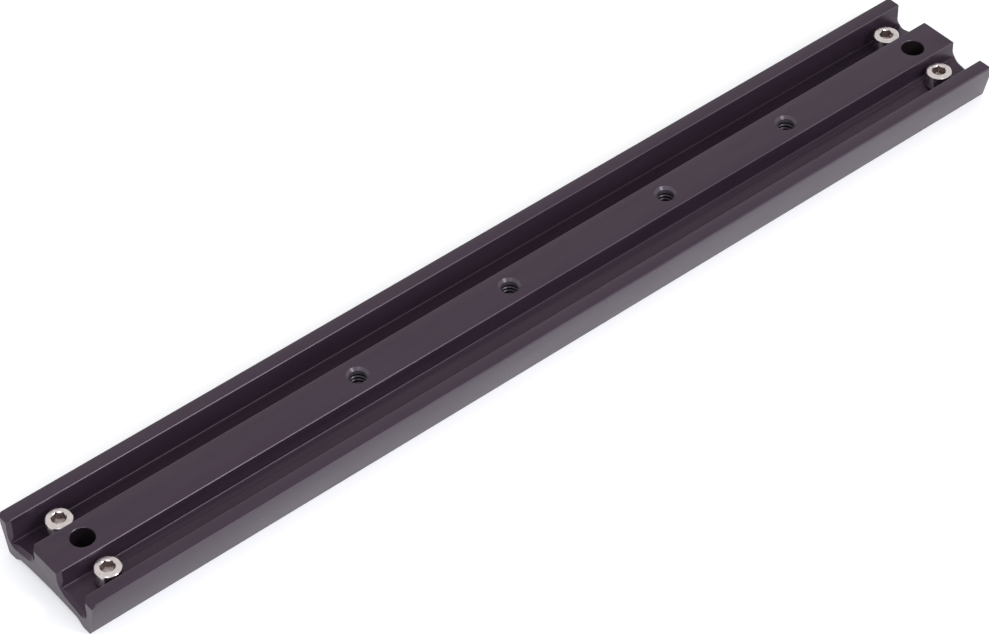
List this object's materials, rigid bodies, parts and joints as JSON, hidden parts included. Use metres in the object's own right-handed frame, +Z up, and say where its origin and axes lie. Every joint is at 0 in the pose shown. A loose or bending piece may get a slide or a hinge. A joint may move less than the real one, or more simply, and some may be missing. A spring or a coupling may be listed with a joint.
{
  "type": "dovetail mounting rail",
  "caption": "Black anodised dovetail rail with a ribbed, grooved top, tapped and clear holes down the rib, and socket-head cap screws in the grooves.",
  "frame": {"origin": "under the middle of the rail, on the plane of its two feet", "axes": "+X along the rail towards its rear end, +Y to its left side, +Z up out of the grooved face"},
  "size_m": [0.3364, 0.0448, 0.0134],
  "materials": {
    "black_anodised": "satin black anodised extrusion",
    "stainless": "bright stainless steel, turned and lightly polished"
  },
  "bodies": {
    "rail": {"dovetail_rail": "black_anodised"},
    "screw_front_left": {"cap_screw_front_left": "stainless"},
    "screw_front_right": {"cap_screw_front_right": "stainless"},
    "screw_rear_left": {"cap_screw_rear_left": "stainless"},
    "screw_rear_right": {"cap_screw_rear_right": "stainless"}
  },
  "joints": [
    {"name": "turn_front_left", "type": "hinge", "parent": "rail", "child": "screw_front_left", "pos_m": [-0.15585, 0.0115, 0.00675], "axis": [0, 0, 1], "continuous": true},
    {"name": "turn_front_right", "type": "hinge", "parent": "rail", "child": "screw_front_right", "pos_m": [-0.15585, -0.0115, 0.00675], "axis": [0, 0, 1], "continuous": true},
    {"name": "turn_rear_left", "type": "hinge", "parent": "rail", "child": "screw_rear_left", "pos_m": [0.15585, 0.0115, 0.00675], "axis": [0, 0, 1], "continuous": true},
    {"name": "turn_rear_right", "type": "hinge", "parent": "rail", "child": "screw_rear_right", "pos_m": [0.15585, -0.0115, 0.00675], "axis": [0, 0, 1], "continuous": true}
  ]
}
